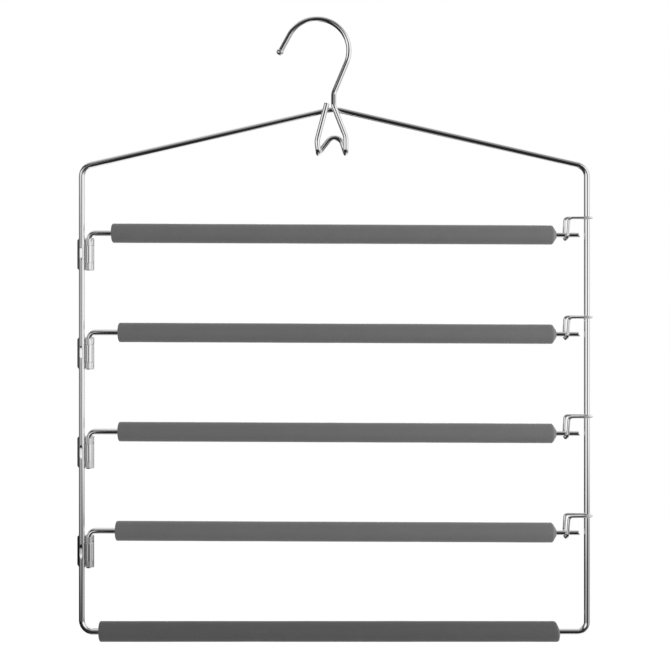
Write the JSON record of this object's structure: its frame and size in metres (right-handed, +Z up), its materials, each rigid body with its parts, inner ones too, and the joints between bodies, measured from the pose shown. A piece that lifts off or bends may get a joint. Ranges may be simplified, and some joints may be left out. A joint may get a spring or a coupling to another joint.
{
  "type": "trouser hanger",
  "caption": "Chromed wire trouser hanger: rail hook with a small double loop, closed frame, padded bars that swing out on side hinges and drop into wire catches.",
  "frame": {"origin": "top of the inside of the rail hook, where a closet rail bears, in the frame's middle plane", "axes": "+Z up along the hanging direction, front looks along -Y, +X to the right as seen from the front, hinges at the left and catches at the right"},
  "size_m": [0.3841, 0.0148, 0.4649],
  "materials": {
    "chrome_wire": "bright nickel-chrome plate",
    "chrome_plate": "plated stamping, a little duller than the wire",
    "cap_metal": "bright plated bead",
    "foam": "fine closed-cell foam, matte dark grey, not a textile",
    "bottom_foam": "fine closed-cell foam, matte, a little darker, not a textile"
  },
  "bodies": {
    "root": {"frame_wire": "chrome_wire", "hook": "chrome_wire", "hook_tip_cap": "cap_metal", "bottom_foam_sleeve": "bottom_foam", "hinge_bracket_1": "chrome_plate", "catch_1": "chrome_wire", "hinge_bracket_2": "chrome_plate", "catch_2": "chrome_wire", "hinge_bracket_3": "chrome_plate", "catch_3": "chrome_wire", "hinge_bracket_4": "chrome_plate", "catch_4": "chrome_wire"},
    "arm_1": {"swing_arm_1": "chrome_wire", "foam_sleeve_1": "foam"},
    "arm_2": {"swing_arm_2": "chrome_wire", "foam_sleeve_2": "foam"},
    "arm_3": {"swing_arm_3": "chrome_wire", "foam_sleeve_3": "foam"},
    "arm_4": {"swing_arm_4": "chrome_wire", "foam_sleeve_4": "foam"}
  },
  "joints": [
    {"name": "arm_swing_1", "type": "hinge", "parent": "root", "child": "arm_1", "pos_m": [-0.16975, 0, -0.1849], "axis": [0, 0, 1], "range_deg": [-120, 120]},
    {"name": "arm_swing_2", "type": "hinge", "parent": "root", "child": "arm_2", "pos_m": [-0.16975, 0, -0.25865], "axis": [0, 0, 1], "range_deg": [-120, 120]},
    {"name": "arm_swing_3", "type": "hinge", "parent": "root", "child": "arm_3", "pos_m": [-0.16975, 0, -0.3324], "axis": [0, 0, 1], "range_deg": [-120, 120]},
    {"name": "arm_swing_4", "type": "hinge", "parent": "root", "child": "arm_4", "pos_m": [-0.16975, 0, -0.40615], "axis": [0, 0, 1], "range_deg": [-120, 120]}
  ]
}
